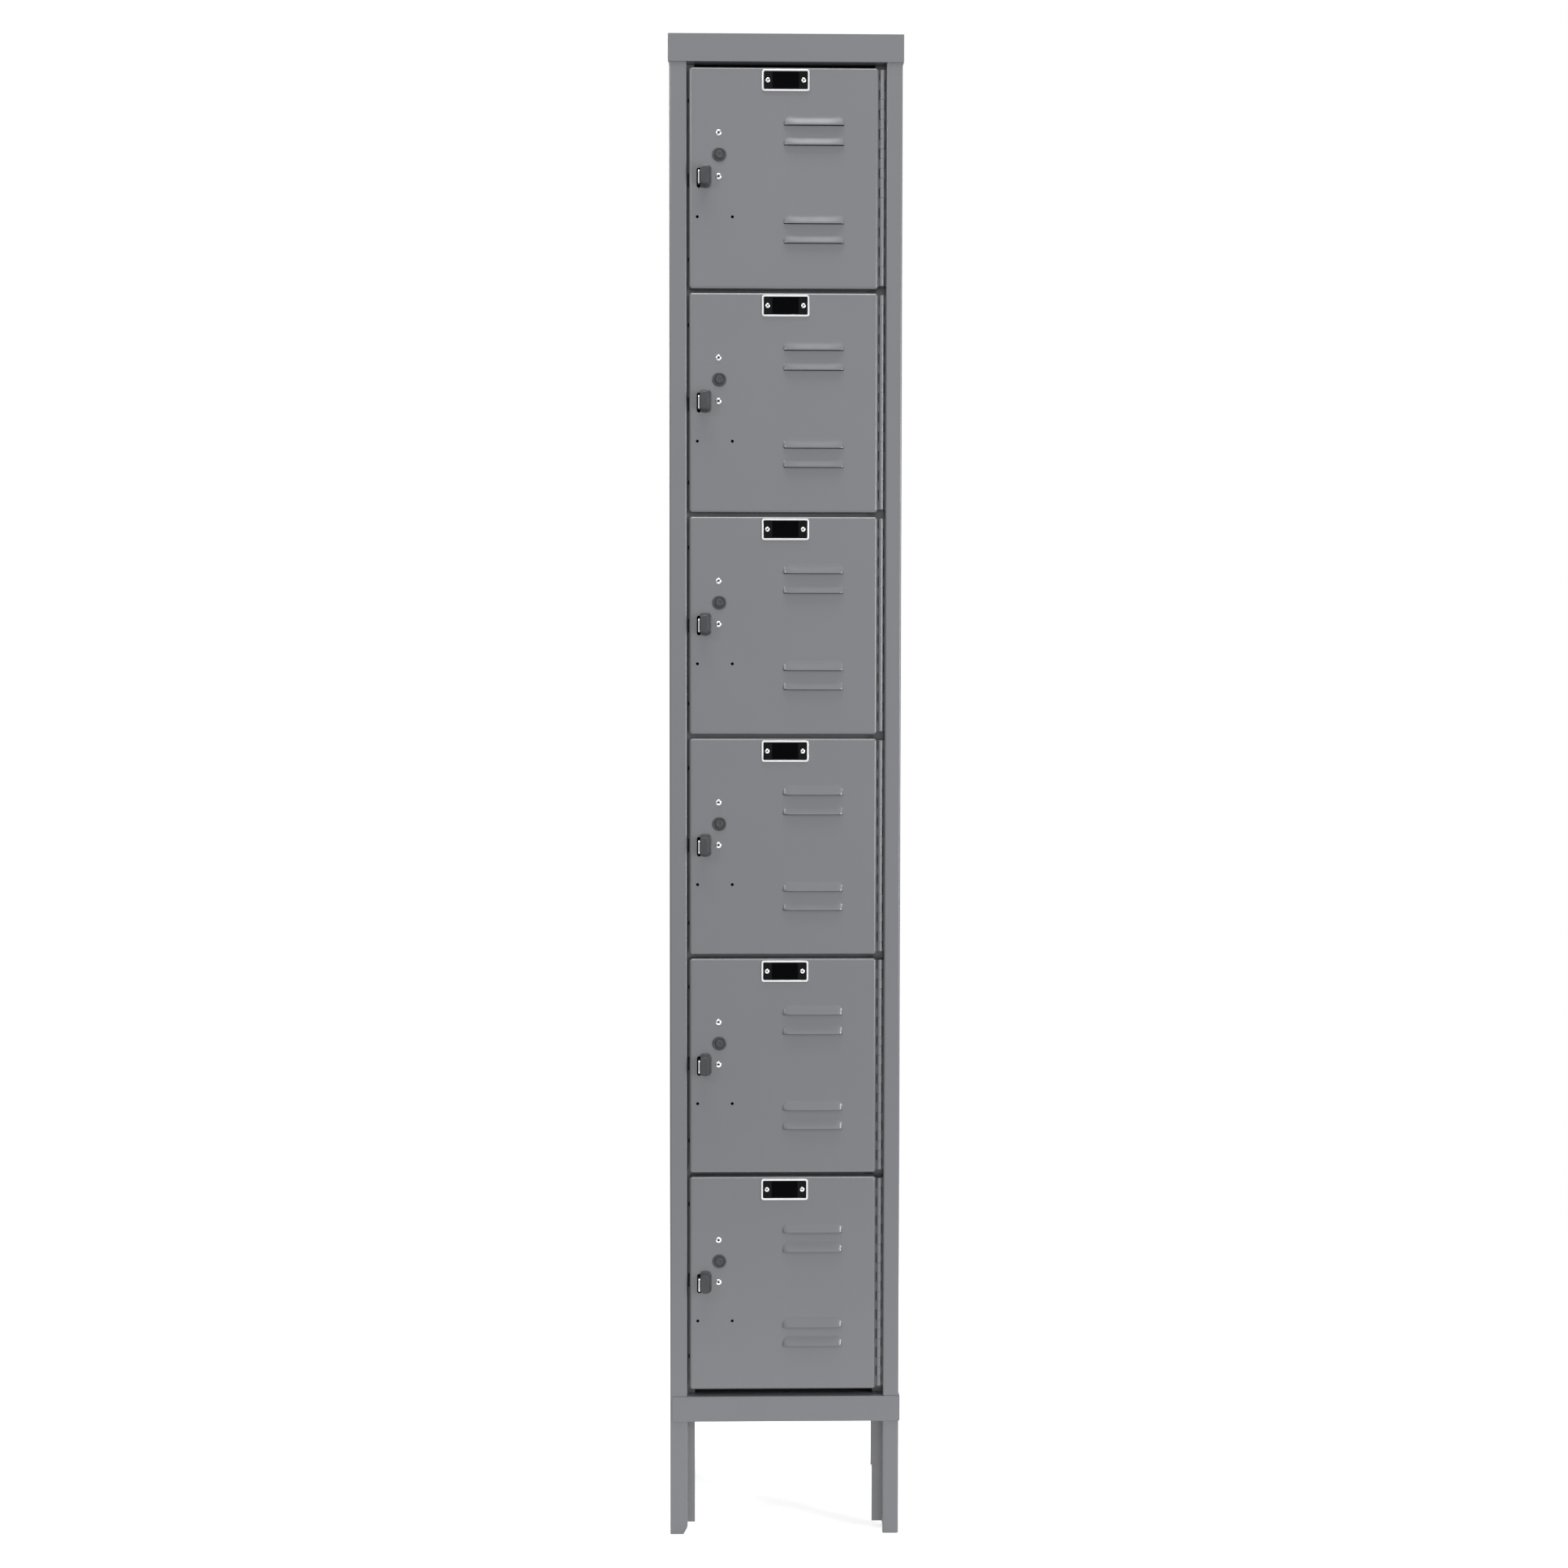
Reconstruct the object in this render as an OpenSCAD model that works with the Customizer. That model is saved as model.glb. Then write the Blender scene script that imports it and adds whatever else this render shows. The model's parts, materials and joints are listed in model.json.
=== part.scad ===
// Six-compartment box locker: a welded front frame with long legs, a folded sheet body,
// and six separately hinged, louvred doors, each with a padlock lug.
// Millimetres, +Z up, front face towards -Y. The origin is on the floor, under the
// middle of the whole outline.

/* [Cabinet] */
// Width over the front uprights
cabinet_w = 304.8; // [290:0.1:380]
// Height from the floor to the top
cabinet_h = 1981.2; // [1800:0.1:2100]
// Depth from the upright faces to the back
cabinet_d = 304.8; // [250:0.1:460]
// Clear height of the legs under the body
leg_h = 152.4; // [100:0.1:200]

/* [Front frame] */
// Thickness of the frame and door sheet
frame_t = 1.5; // [1.2:0.1:1.8]
// Inside radius of every sheet bend
bend_r = 1; // [0.6:0.1:1.4]
// Face width of the left upright, on the lock side
left_face_w = 23.1; // [18:0.1:30]
// Face width of the right upright, on the hinge side
right_face_w = 21.2; // [18:0.1:30]
// Visible width of the left upright's strike
left_strike_w = 9.6; // [6:0.1:12]
// Visible width of the right upright's strike
right_strike_w = 13.3; // [8:0.1:16]
// Depth of the strikes behind the faces
strike_depth = 22; // [20.5:0.1:28]
// Front height of the top rail
top_rail_h = 36; // [25:0.1:50]
// Front height of the bottom rail
bottom_rail_h = 33.6; // [25:0.1:50]

/* [Doors] */
// Gap from the top rail to the first door
gap_over_doors = 6.9; // [4:0.1:10]
// Gap from the last door to the bottom rail
gap_under_doors = 9.2; // [4:0.1:12]
// Gap between one door and the next
door_gap = 5.3; // [4:0.1:9]
// Gap from the left upright to the doors
latch_gap = 3; // [2:0.1:5]
// Gap from the doors to the right upright, which holds the hinge barrel
hinge_gap = 10.4; // [10:0.1:14]
// Depth of a door's folded edge
door_edge_d = 18; // [14:0.1:19]
// Corner radius of a door
door_corner_r = 4; // [3:0.1:8]

/* [Hinge] */
// Length of one knuckle
knuckle_pitch = 12.7; // [10:0.1:20]
// Radius of the barrel
barrel_r = 2.9; // [2.5:0.05:3.2]
// Radius of the pin
pin_r = 1.2; // [0.9:0.05:1.5]
// Thickness of the leaves
leaf_t = 1.2; // [0.9:0.1:1.3]

/* [Louvres] */
// Width of one louvre over its round ends
louvre_w = 79; // [50:0.5:100]
// Height of one louvre
louvre_h = 13; // [9:0.5:16]
// How far the lip stands out
louvre_out = 4.5; // [2:0.1:6]

/* [Latch side] */
// Height of the finger pull
pull_h = 28; // [20:0.5:36]
// Width of the finger pull
pull_w = 15; // [12:0.5:20]
// How far the finger pull stands out
pull_out = 15; // [12.6:0.1:20]
// Radius of the padlock eye
eye_r = 4; // [3:0.1:4.5]

/* [Hidden] */
$fn = 64;
tiers = 6;
door_names = ["panel", "hinge_leaf", "pull", "number_plate", "rivets", "lock_plug", "catch"];

// Colours
steel_grey = [0.53, 0.535, 0.55];
zinc = [0.75, 0.76, 0.78];
aluminium = [0.85, 0.85, 0.86];
plastic_black = [0.16, 0.16, 0.17];
rubber_black = [0.08, 0.08, 0.08];

// Thin sheet of the body
body_t = 0.8;
fold_r = bend_r + frame_t;
eps = 0.01;

// The finger pulls are the frontmost points, so the outline's middle lies behind the frame's.
face_y = (pull_out - cabinet_d) / 2;
half_w = cabinet_w / 2;

// Door layout, from the frame's left edge to its right and from the top down
left_face_x = -half_w + left_face_w;
right_face_x = half_w - right_face_w;
door_x0 = left_face_x + latch_gap;
door_x1 = right_face_x - hinge_gap;
door_w = door_x1 - door_x0;
doors_top = cabinet_h - top_rail_h - gap_over_doors;
doors_bottom = leg_h + bottom_rail_h + gap_under_doors;
door_pitch = (doors_top - doors_bottom + door_gap) / tiers;
door_h = door_pitch - door_gap;
function door_top(i) = doors_top - (i - 1) * door_pitch;
function gap_z(i) = door_top(i) - door_h - door_gap / 2;

// Faces of the body; the heads of the rivets in the back make up its full depth.
side_x = half_w - frame_t;
inner_x = side_x - body_t;
back_head_h = 0.8;
skin_y = cabinet_d - back_head_h;
back_y = skin_y - 2 * body_t;
roof_z = cabinet_h - frame_t;
shelf_front = strike_depth + 2 * frame_t + 1;
shelf_up = 8;
shelf_fold = 15;
cross_down = 12;
cross_flange = 15;
bottom_z = leg_h + bottom_rail_h - frame_t;
bottom_panel_x = inner_x - frame_t - 0.2;
bottom_panel_y = back_y - frame_t - 0.2;
leg_side_w = 25;
leg_back_w = 18;
strike_lift = 9.6;
leg_chamfer = [5.5, 10];
rail_wrap = 25;

// Hinge
hinge_x = right_face_x - 5.5;
hinge_y = barrel_r + 0.1;
hinge_top_gap = 2.5;
knuckle_gap = 0.3;
knuckles = 2 * floor((door_h - hinge_top_gap - 3) / knuckle_pitch / 2);
pin_fit = 0.05;
leaf_clear = 0.5;
frame_arm_y = 9;

// Positions on a door, as [across from its left edge, down from its top]
slot_at = [12.8, 143];
slot_size = [6, 26];
pull_at = [22, 141];
plug_at = [39.4, 113];
catch_rivet_x = 38.4;
catch_rivet_down = [84.6, 141];
screw_holes_x = [10.7, 56.5];
screw_holes_down = 193.3;
screw_hole_r = 1.5;
plate_at = [door_w / 2 + 2.5, 16.8];
plate_size = [62, 28];
plate_t = 0.8;
plate_rim = 2.2;
plate_rim_t = 0.6;
plate_rivet_gap = 46.8;
louvre_x = 163;
louvre_down = [74.3, 100.2, 201.6, 226.8];
stake_gap = 10.5;
stake_x = 25;
stake_r = 1.4;
plug_r = 9.2;
plug_hole_r = 8;

// Padlock lug and friction catch
lug_t = 2;
lug_h = 18;
lug_out = 12.5;
lug_corner = 4;
lug_foot_t = 1.5;
lug_foot_w = 14.8;
catch_t = 1;
catch_y = frame_t + 0.1;
catch_arm_h = 12;
catch_tongue_x = 16.2;
catch_nose_r = 2;
catch_nose_y = 13;

// ---- Shared shapes ----

// Places a child drawn with its depth measured from the upright faces.
module at_face() {
    translate([0, face_y, 0]) children();
}

// Puts a child at a point on door i, given as [across, down].
module on_door(i, at) {
    translate([door_x0 + at[0], 0, door_top(i) - at[1]]) children();
}

// A front-view shape, thick from depth y0 to depth y1.
module front(y0, y1) {
    translate([0, y1, 0]) rotate([90, 0, 0]) linear_extrude(y1 - y0) children();
}

// A side-view section drawn as [depth, height], long from x0 to x1.
module along(x0, x1) {
    translate([x0, 0, 0]) rotate([90, 0, 90]) linear_extrude(x1 - x0) children();
}

// A round bar along the depth.
module pin_y(r, y0, y1) {
    translate([0, y1, 0]) rotate([90, 0, 0]) cylinder(r = r, h = y1 - y0);
}

// A quarter of a flat ring, in the first quadrant.
module quarter_ring(r, t) {
    intersection() {
        difference() {
            circle(r + t);
            circle(r);
        }
        square(r + t + 1);
    }
}

// The section of a folded sheet: straight runs with a right-angled bend after each,
// to the left for 1 and to the right for -1. The path is the sheet's right-hand side.
module folded(runs, turns, t = frame_t, r = bend_r, i = 0) {
    square([runs[i], t]);
    if (i < len(turns)) translate([runs[i], 0]) {
        if (turns[i] > 0) {
            translate([0, r + t]) rotate(-90) quarter_ring(r, t);
            translate([r + t, r + t]) rotate(90) folded(runs, turns, t, r, i + 1);
        } else {
            translate([0, -r]) quarter_ring(r, t);
            translate([r, -r]) rotate(-90) folded(runs, turns, t, r, i + 1);
        }
    }
}

// A rectangle with round corners, about the origin.
module rounded(w, h, r) {
    square([w - 2 * r, h], center = true);
    square([w, h - 2 * r], center = true);
    for (x = [-1, 1], y = [-1, 1])
        translate([x * (w / 2 - r), y * (h / 2 - r)]) circle(r);
}

// A blind rivet along the depth: a domed head in front of depth 0 with the hole its
// mandrel leaves, a shank, and a tail bulged behind depth grip.
module rivet(head_r, head_h, shank_r, grip) {
    dome_r = (head_r * head_r + head_h * head_h) / (2 * head_h);
    difference() {
        union() {
            rotate([90, 0, 0]) rotate_extrude() intersection() {
                translate([0, head_h - dome_r]) circle(dome_r, $fn = 96);
                square([head_r, head_h]);
            }
            pin_y(shank_r, -eps, grip + eps);
            pin_y(shank_r * 1.5, grip, grip + 2);
        }
        pin_y(head_r * 0.27, -head_h - 1, -head_h * 0.35);
    }
}

// ---- Front frame ----

// Plan of the left upright: side flange, face, return and strike.
module upright_plan(face_w, strike_w) {
    translate([0, strike_depth + fold_r])
        rotate(-90) folded(
            [strike_depth, face_w - 2 * fold_r, strike_depth - fold_r - bend_r, strike_w - bend_r],
            [1, 1, -1]);
}

// An upright whose outer side is at x = 0 and whose strike stops short of the floor.
module upright(face_w, strike_w) {
    difference() {
        linear_extrude(roof_z - body_t) upright_plan(face_w, strike_w);
        translate([frame_t + 1, fold_r, -1]) cube([60, 60, strike_lift + 1]);
    }
}

module left_upright() {
    color(steel_grey) at_face() translate([-half_w, 0, 0]) difference() {
        upright(left_face_w, left_strike_w);
        // Cut corner of the foot
        x = -leg_chamfer[0];
        z = leg_chamfer[1];
        front(-1, fold_r + eps) translate([left_face_w, 0])
            polygon([[0.1, -1], [x, -1], [x, 0], [0, z], [0.1, z]]);
    }
}

module right_upright() {
    color(steel_grey) at_face() translate([half_w, 0, 0]) mirror([1, 0, 0])
        upright(right_face_w, right_strike_w);
}

// A rail on the front of the uprights: face, two flanges between the uprights, and
// tabs that wrap round the sides of the uprights.
module rail(z0, h, tab_sides, x0, x1, top_x0, top_x1) {
    flange = strike_depth - 1;
    along(x0, x1) translate([-frame_t, z0]) square([frame_t, h]);
    along(top_x0, top_x1) translate([-frame_t, z0 + h - frame_t])
        square([flange + frame_t, frame_t]);
    along(left_face_x, right_face_x) translate([-frame_t, z0]) square([flange + frame_t, frame_t]);
    for (side = tab_sides)
        translate([side > 0 ? half_w : -half_w - frame_t, 0, 0]) along(0, frame_t)
            translate([0, z0])
                polygon([[-frame_t, 3], [1.5, 0], [rail_wrap - 3, 0], [rail_wrap, 3],
                    [rail_wrap, h], [-frame_t, h]]);
}

module top_rail() {
    color(steel_grey) at_face() rail(cabinet_h - top_rail_h, top_rail_h, [-1, 1],
        -half_w - frame_t, half_w + frame_t, -half_w - frame_t, half_w + frame_t);
}

// The bottom rail stops on the face of the left upright and wraps round the right one.
module bottom_rail() {
    color(steel_grey) at_face() rail(leg_h, bottom_rail_h, [1],
        -half_w + fold_r, half_w + frame_t, left_face_x, right_face_x);
}

// Channels welded behind the strikes, one at each gap between doors
module cross_members() {
    h = shelf_up + cross_down;
    reach = inner_x - body_t - 0.2;
    color(steel_grey) at_face() for (i = [1:tiers - 1])
        along(-reach, reach)
            translate([strike_depth + frame_t + fold_r + cross_flange, gap_z(i) + shelf_up]) rotate(180)
                folded([cross_flange, h - 2 * fold_r, cross_flange], [1, 1]);
}

// ---- Folded body ----

// Rivet places on the body: [height, whether the back has one]
rivet_rows = concat([bottom_z - 10], [for (i = [1:tiers - 1]) gap_z(i) + shelf_up - 7], [roof_z - 9]);
side_rivet_y = [48, back_y - 22];
back_rivet_x = [-inner_x + 12, inner_x - 12];
body_rivet_r = 2;

module side_panel() {
    difference() {
        linear_extrude(roof_z - body_t - leg_h) translate([-side_x, fold_r + 0.5]) {
            square([body_t, skin_y - fold_r - 0.5]);
            translate([0, skin_y - fold_r - 0.5 - body_t]) square([20, body_t]);
        }
        for (z = rivet_rows, y = side_rivet_y)
            translate([-side_x - 1, y, z - leg_h]) rotate([0, 90, 0]) cylinder(r = body_rivet_r, h = 3);
        for (z = rivet_rows)
            translate([back_rivet_x[0], back_y, z - leg_h]) pin_y(body_rivet_r, -1, 3);
    }
}

module left_side_panel() {
    color(steel_grey) at_face() translate([0, 0, leg_h]) side_panel();
}

module right_side_panel() {
    color(steel_grey) at_face() translate([0, 0, leg_h]) mirror([1, 0, 0]) side_panel();
}

// Wall anchor holes in the back of the top and bottom compartments
anchor_x = 100;
anchor_z = [doors_bottom + 190, doors_top - 90];
anchor_r = 4.4;

module back_panel() {
    color(steel_grey) at_face() difference() {
        translate([-inner_x, back_y, leg_h]) cube([2 * inner_x, body_t, roof_z - body_t - leg_h]);
        for (x = [-anchor_x, anchor_x], z = anchor_z)
            translate([x, back_y, z]) pin_y(anchor_r, -1, 2);
        for (x = back_rivet_x, z = rivet_rows)
            translate([x, back_y, z]) pin_y(body_rivet_r, -1, 3);
    }
}

// A sheet with its sides and back folded down, from depth y0 to y1, with rivet holes.
module tray(half, y0, y1, top, fold, rivet_z) {
    difference() {
        union() {
            translate([-half, y0, top - body_t]) cube([2 * half, y1 - y0, body_t]);
            for (x = [-half, half - body_t])
                translate([x, y0 + 2, top - fold]) cube([body_t, y1 - y0 - 2, fold]);
            translate([-half, y1 - body_t, top - fold]) cube([2 * half, body_t, fold]);
        }
        for (y = side_rivet_y)
            translate([-half - 1, y, rivet_z]) rotate([0, 90, 0])
                cylinder(r = body_rivet_r, h = 2 * half + 2);
        for (x = back_rivet_x)
            translate([x, y1, rivet_z]) pin_y(body_rivet_r, -2, 2);
    }
}

module top_panel() {
    color(steel_grey) at_face() {
        tray(inner_x, shelf_front, back_y, roof_z, shelf_fold, rivet_rows[tiers]);
        translate([-inner_x, eps, roof_z - body_t]) cube([2 * inner_x, shelf_front, body_t]);
    }
}

// The bottom panel is smaller, because it drops between the rear legs.
module bottom_panel() {
    color(steel_grey) at_face() {
        tray(bottom_panel_x, shelf_front, bottom_panel_y, bottom_z, shelf_fold, rivet_rows[0]);
        x0 = left_face_x + left_strike_w + 0.5;
        x1 = right_face_x - right_strike_w - 0.5;
        translate([x0, frame_t, bottom_z - body_t]) cube([x1 - x0, shelf_front, body_t]);
    }
}

module shelves() {
    color(steel_grey) at_face() for (i = [1:tiers - 1])
        tray(inner_x, shelf_front, back_y, gap_z(i) + shelf_up + body_t, shelf_fold, rivet_rows[i]);
}

// An angle that stands inside the body's rear corner and stops under the bottom panel
module rear_leg() {
    difference() {
        linear_extrude(bottom_z - body_t) translate([-inner_x, back_y - leg_side_w])
            mirror([1, 0]) rotate(90) folded([leg_side_w - fold_r, leg_back_w - fold_r], [1]);
        translate([-inner_x - 1, side_rivet_y[1], rivet_rows[0]]) rotate([0, 90, 0])
            cylinder(r = body_rivet_r, h = 4);
        translate([back_rivet_x[0], back_y, rivet_rows[0]]) pin_y(body_rivet_r, -3, 2);
    }
}

module rear_left_leg() {
    color(steel_grey) at_face() rear_leg();
}

module rear_right_leg() {
    color(steel_grey) at_face() mirror([1, 0, 0]) rear_leg();
}

// The lowest row also reaches over the rear legs, which hold the bottom panel off the skin.
module body_rivets() {
    color(steel_grey) at_face() for (i = [0:tiers]) {
        leg_grip = i > 0 ? 0 : inner_x - bottom_panel_x;
        for (y = side_rivet_y, side = [-1, 1])
            translate([side * side_x, y, rivet_rows[i]]) rotate([0, 0, side * 90])
                rivet(4, 1.4, body_rivet_r, 2 * body_t + leg_grip);
        for (x = back_rivet_x)
            translate([x, skin_y, rivet_rows[i]]) rotate([0, 0, 180])
                rivet(4, back_head_h, body_rivet_r, 3 * body_t + leg_grip);
    }
}

// ---- Parts of the frame that serve the doors ----

// Outline of a padlock lug in side view: [depth, height] about the slot's height
module lug_side() {
    reach = strike_depth + lug_out;
    difference() {
        union() {
            translate([-lug_out + lug_corner, -lug_h / 2]) square([reach - lug_corner, lug_h]);
            translate([-lug_out, -lug_h / 2 + lug_corner]) square([reach, lug_h - 2 * lug_corner]);
            for (side = [-1, 1])
                translate([-lug_out + lug_corner, side * (lug_h / 2 - lug_corner)]) circle(lug_corner);
        }
        translate([-lug_out + 7, 0]) circle(eye_r);
    }
}

module padlock_lugs() {
    color(zinc) at_face() for (i = [1:tiers]) on_door(i, slot_at) {
        along(-lug_t / 2, lug_t / 2) lug_side();
        translate([-lug_foot_w, strike_depth - lug_foot_t, -lug_h / 2])
            cube([lug_foot_w, lug_foot_t, lug_h]);
    }
}

// One leaf of a door's hinge: the strip that lies on the sheet at x = strip_x, and every
// second knuckle with its arm. side is -1 for the door's leaf and 1 for the frame's.
module hinge_leaf(i, side, first, strip_depth) {
    reach = abs((side > 0 ? right_face_x : door_x1) - hinge_x);
    top = door_top(i) - hinge_top_gap;
    arm_x = side > 0 ? barrel_r - leaf_t - 0.1 : 0;
    arm_y = side > 0 ? frame_arm_y : hinge_y + barrel_r - leaf_t;
    strip_y = hinge_y + barrel_r + leaf_clear;
    translate([hinge_x, 0, 0]) mirror([side > 0 ? 0 : 1, 0, 0]) difference() {
        union() {
            translate([reach - leaf_t, strip_y, top - knuckles * knuckle_pitch])
                cube([leaf_t, strip_depth - strip_y, knuckles * knuckle_pitch]);
            for (k = [first:2:knuckles - 1])
                translate([0, 0, top - (k + 1) * knuckle_pitch + knuckle_gap / 2])
                    linear_extrude(knuckle_pitch - knuckle_gap) {
                        translate([0, hinge_y]) circle(barrel_r);
                        translate([arm_x, hinge_y]) square([leaf_t, arm_y + leaf_t - hinge_y]);
                        translate([arm_x, arm_y]) square([reach - arm_x, leaf_t]);
                        translate([reach - leaf_t, min(arm_y, strip_y)])
                            square([leaf_t, abs(strip_y - arm_y) + eps]);
                    }
        }
        translate([0, hinge_y, top - knuckles * knuckle_pitch - 1])
            cylinder(r = pin_r + pin_fit, h = knuckles * knuckle_pitch + 2);
    }
}

module frame_hinge_leaves() {
    color(steel_grey) at_face() for (i = [1:tiers]) hinge_leaf(i, 1, 0, strike_depth - bend_r - 0.5);
}

module hinge_pins() {
    color(zinc) at_face() for (i = [1:tiers])
        translate([hinge_x, hinge_y, door_top(i) - hinge_top_gap - knuckles * knuckle_pitch])
            cylinder(r = pin_r, h = knuckles * knuckle_pitch);
}

// Rubber buttons on the left strike that the doors close on
module door_silencers() {
    x = left_face_x + 4.6;
    color(rubber_black) at_face() for (i = [1:tiers], down = [40, door_h - 40])
        translate([x, strike_depth, door_top(i) - down]) difference() {
            pin_y(3.5, door_edge_d + 0.3 - strike_depth, 0);
            pin_y(1, door_edge_d - strike_depth, door_edge_d + 1 - strike_depth);
        }
}

// ---- Doors ----

// Folded pan of a door about its middle, with its face at depth 0
module door_pan() {
    difference() {
        front(0, door_edge_d) rounded(door_w, door_h, door_corner_r);
        front(frame_t, door_edge_d + 1)
            rounded(door_w - 2 * frame_t, door_h - 2 * frame_t, door_corner_r - frame_t);
    }
}

// Front view of a louvre: flat lip below, round shoulders
module louvre_outline(w, h) {
    shoulder = 0.7 * h;
    intersection() {
        rounded(w, 2 * h, shoulder);
        translate([-w, 0]) square([2 * w, 2 * h]);
    }
}

// The space under a round bulge that stands out in front of the face
module louvre_bulge(out, w, h) {
    arc_h = h + 1;
    r = (out * out + arc_h * arc_h) / (2 * out);
    intersection() {
        front(-out - 1, frame_t) louvre_outline(w, h);
        translate([-w, r - out, 0]) rotate([0, 90, 0]) cylinder(r = r, h = 2 * w, $fn = 128);
    }
}

module door_panel(i) {
    color(steel_grey) at_face() difference() {
        union() {
            on_door(i, [door_w / 2, door_h / 2]) door_pan();
            for (down = louvre_down)
                on_door(i, [louvre_x, down]) louvre_bulge(louvre_out, louvre_w, louvre_h);
        }
        for (down = louvre_down) on_door(i, [louvre_x, down]) translate([0, 0, -eps]) {
            louvre_bulge(louvre_out - 1, louvre_w - 2.4, louvre_h - 1.2);
            front(-eps, frame_t + 1) louvre_outline(louvre_w - 2.4, louvre_h - 1.2);
        }
        on_door(i, slot_at) front(-1, 3) rounded(slot_size[0], slot_size[1], slot_size[0] / 2 - eps);
        on_door(i, plug_at) pin_y(plug_hole_r, -1, 3);
        for (down = catch_rivet_down) on_door(i, [catch_rivet_x, down]) pin_y(body_rivet_r, -1, 3);
        for (x = screw_holes_x) on_door(i, [x, screw_holes_down]) pin_y(screw_hole_r, -1, 3);
        for (side = [-1, 1]) {
            on_door(i, plate_at) translate([side * plate_rivet_gap / 2, 0, 0]) pin_y(1.5, -1, 3);
            on_door(i, [stake_x, pull_at[1] + side * stake_gap]) pin_y(stake_r, -1, 3);
        }
    }
}

module door_hinge_leaf(i) {
    color(steel_grey) at_face() hinge_leaf(i, -1, 1, door_edge_d - 0.5);
}

// Plan of the pull: flat front, round right-hand shoulder, thin foot on the door
module pull_plan(inset) {
    shoulder = 3 - inset / 2;
    right = pull_w - 1.8 - inset;
    out = pull_out - inset;
    left = inset > 0 ? -1 : 0;
    translate([left, -out]) square([right - shoulder - left, out]);
    translate([left, -out + shoulder]) square([right - left, out - shoulder]);
    translate([right - shoulder, -out + shoulder]) circle(shoulder);
}

module door_pull(i) {
    wall = 1.8;
    corner = 2.5;
    color(plastic_black) at_face() on_door(i, [pull_at[0] - pull_w / 2, pull_at[1]]) {
        difference() {
            intersection() {
                translate([0, 0, -pull_h / 2]) linear_extrude(pull_h) pull_plan(0);
                front(-pull_out - 1, 0) translate([pull_w / 2, 0]) rounded(pull_w, pull_h, corner);
            }
            translate([0, eps, -pull_h / 2 + wall])
                linear_extrude(pull_h - 2 * wall) pull_plan(wall);
        }
        difference() {
            front(-1.2, 0) translate([pull_w / 2, 0]) rounded(pull_w, pull_h, corner);
            front(-2, 1) translate([pull_w / 2 - 3.6, 0])
                square([pull_w, pull_h - 2 * wall], center = true);
        }
        for (side = [-1, 1])
            translate([stake_x - pull_at[0] + pull_w / 2, 0, side * stake_gap]) {
                pin_y(stake_r, -2, frame_t);
                pin_y(stake_r + 0.9, -2, -eps);
                pin_y(stake_r + 0.9, frame_t, frame_t + 1);
            }
    }
}

module door_number_plate(i) {
    w = plate_size[0];
    h = plate_size[1];
    color(aluminium) at_face() on_door(i, plate_at) difference() {
        front(-plate_t - plate_rim_t, 0) rounded(w, h, 3);
        front(-plate_t - plate_rim_t - 1, -plate_t)
            rounded(w - 2 * plate_rim, h - 2 * plate_rim, 1.8);
        for (side = [-1, 1]) translate([side * plate_rivet_gap / 2, 0, 0]) pin_y(1.5, -3, 1);
    }
}

module door_rivets(i) {
    color(zinc) at_face() {
        for (side = [-1, 1]) on_door(i, plate_at)
            translate([side * plate_rivet_gap / 2, -plate_t, 0]) rivet(3.1, 1.3, 1.5, plate_t + frame_t);
        for (down = catch_rivet_down)
            on_door(i, [catch_rivet_x, down]) rivet(3.9, 1.6, body_rivet_r, catch_y + catch_t);
    }
}

// Snap-in plug that covers the hole left for a built-in lock
module door_lock_plug(i) {
    barb_r = plug_hole_r - 0.05;
    barb_z = -catch_y - 3;
    color(plastic_black) at_face() on_door(i, plug_at) rotate([90, 0, 0]) rotate_extrude()
        polygon([[0, -1.5], [barb_r - 2, -1.5], [barb_r - 2, barb_z], [barb_r - 0.9, barb_z],
            [barb_r, barb_z + 2.6], [barb_r, 0], [plug_r, 0], [plug_r, 0.7], [plug_r - 0.5, 1.2],
            [6.6, 1.2], [6, 0.7], [5.6, 0.7], [5.2, 1.9], [4.7, 2.2], [0, 2.2]]);
}

// Spring plate behind the door; its nose bears on the lug and holds the door shut.
module door_catch(i) {
    plate_x0 = 29;
    plate_x1 = 51;
    top = 74;
    bottom = 152;
    bend = 0.6;
    tongue = door_edge_d + 1;
    color(zinc) at_face() on_door(i, [0, 0]) difference() {
        union() {
            front(catch_y, catch_y + catch_t)
                translate([(plate_x0 + plate_x1) / 2, -(top + bottom) / 2])
                    rounded(plate_x1 - plate_x0, bottom - top, 3);
            translate([0, 0, -slot_at[1] - catch_arm_h / 2]) linear_extrude(catch_arm_h) {
                translate([catch_tongue_x, tongue]) rotate(-90)
                    folded([tongue - catch_y - catch_t - bend, plate_x1 - 10 - catch_tongue_x],
                        [1], catch_t, bend);
                intersection() {
                    translate([catch_tongue_x + 0.4, catch_nose_y]) circle(catch_nose_r);
                    translate([catch_tongue_x - 5, 0]) square([5 + eps, 30]);
                }
            }
        }
        translate([plug_at[0], 0, -plug_at[1]]) pin_y(plug_hole_r + 0.2, 0, 5);
        for (down = catch_rivet_down) translate([catch_rivet_x, 0, -down]) pin_y(body_rivet_r, 0, 5);
    }
}

// ---- Assembly ----

left_upright();
right_upright();
top_rail();
bottom_rail();
cross_members();
left_side_panel();
right_side_panel();
back_panel();
top_panel();
bottom_panel();
shelves();
rear_left_leg();
rear_right_leg();
padlock_lugs();
frame_hinge_leaves();
hinge_pins();
body_rivets();
door_silencers();
for (i = [1:tiers]) {
    door_panel(i);
    door_hinge_leaf(i);
    door_pull(i);
    door_number_plate(i);
    door_rivets(i);
    door_lock_plug(i);
    door_catch(i);
}
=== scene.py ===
import json
import math

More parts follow.
